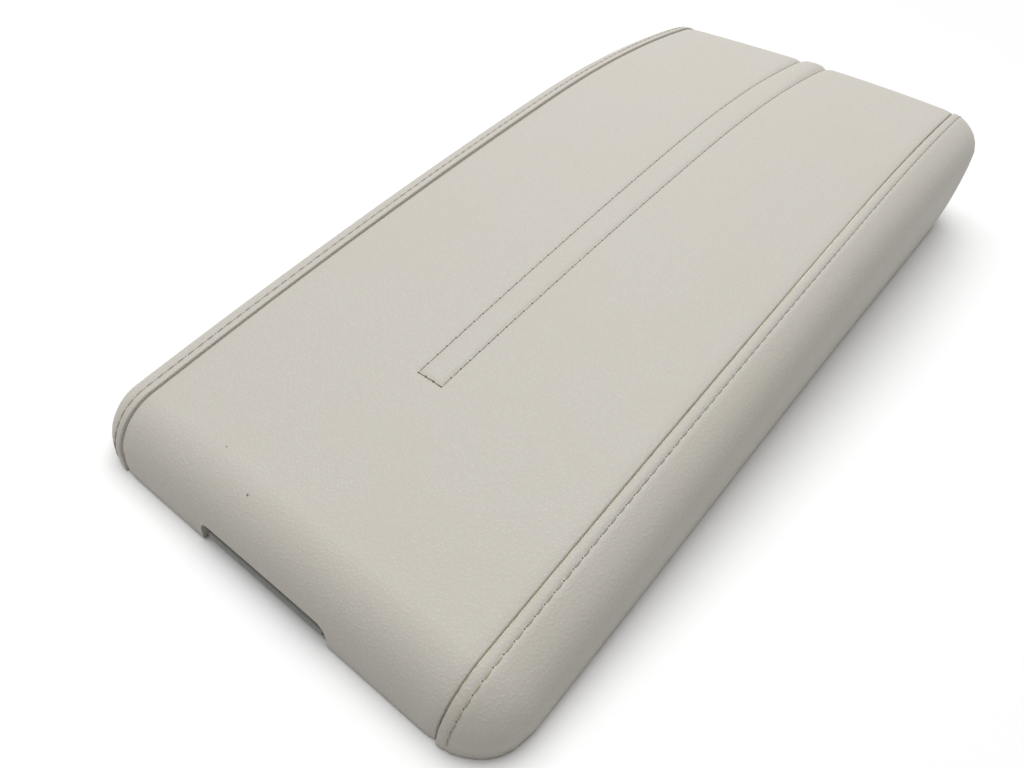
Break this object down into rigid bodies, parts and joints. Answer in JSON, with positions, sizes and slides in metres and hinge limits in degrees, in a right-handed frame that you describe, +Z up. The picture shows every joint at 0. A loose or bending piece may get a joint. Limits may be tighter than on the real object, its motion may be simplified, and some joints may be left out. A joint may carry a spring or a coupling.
{
  "type": "car armrest lid",
  "caption": "Padded leather centre-console armrest lid with a wedge profile, stitched seams, a finger latch in the front rim and a sprung pin hinge at the rear.",
  "frame": {"origin": "middle of the footprint, on the surface that the closed lid rests on", "axes": "+X across the width, +Y from the latch end to the hinge end, +Z up"},
  "size_m": [0.1804, 0.394, 0.066],
  "materials": {
    "leather": "light warm-grey grained leather, satin",
    "foam": "moulded polyurethane foam",
    "core_plastic": "black moulded plastic",
    "liner_plastic": "dark grey grained plastic",
    "latch_plastic": "dark grey-green moulded plastic",
    "rubber": "black rubber",
    "bush_plastic": "natural nylon",
    "hinge_steel": "black coated pressed steel",
    "screw_steel": "zinc-plated steel",
    "spring_steel": "oiled spring steel"
  },
  "bodies": {
    "base": {"hinge_base": "hinge_steel", "hinge_pin": "screw_steel", "pin_clip": "spring_steel", "hinge_bush_left": "bush_plastic", "hinge_bush_right": "bush_plastic", "hinge_spring": "spring_steel"},
    "lid": {"top_cover": "leather", "left_side_cover": "leather", "right_side_cover": "leather", "foam_pad": "foam", "core_shell": "core_plastic", "liner_panel": "liner_plastic", "liner_screws": "screw_steel", "hinge_screws": "screw_steel", "bump_stop_front_left": "rubber", "bump_stop_front_right": "rubber", "bump_stop_rear_left": "rubber", "bump_stop_rear_right": "rubber", "hinge_arm": "hinge_steel", "latch_pin": "screw_steel", "latch_spring": "spring_steel"},
    "lever": {"latch_lever": "latch_plastic"}
  },
  "joints": [
    {"name": "lid_hinge", "type": "hinge", "parent": "base", "child": "lid", "pos_m": [0, 0.164, 0.014], "axis": [-1, 0, 0], "range_deg": [0, 90], "deforming": ["hinge_spring"]},
    {"name": "latch_pivot", "type": "hinge", "parent": "lid", "child": "lever", "pos_m": [0, -0.17, 0.01], "axis": [-1, 0, 0], "range_deg": [0, 8], "stiffness_Nm_per_rad": 0.2, "springref_deg": -5.73, "deforming": ["latch_spring"]}
  ]
}
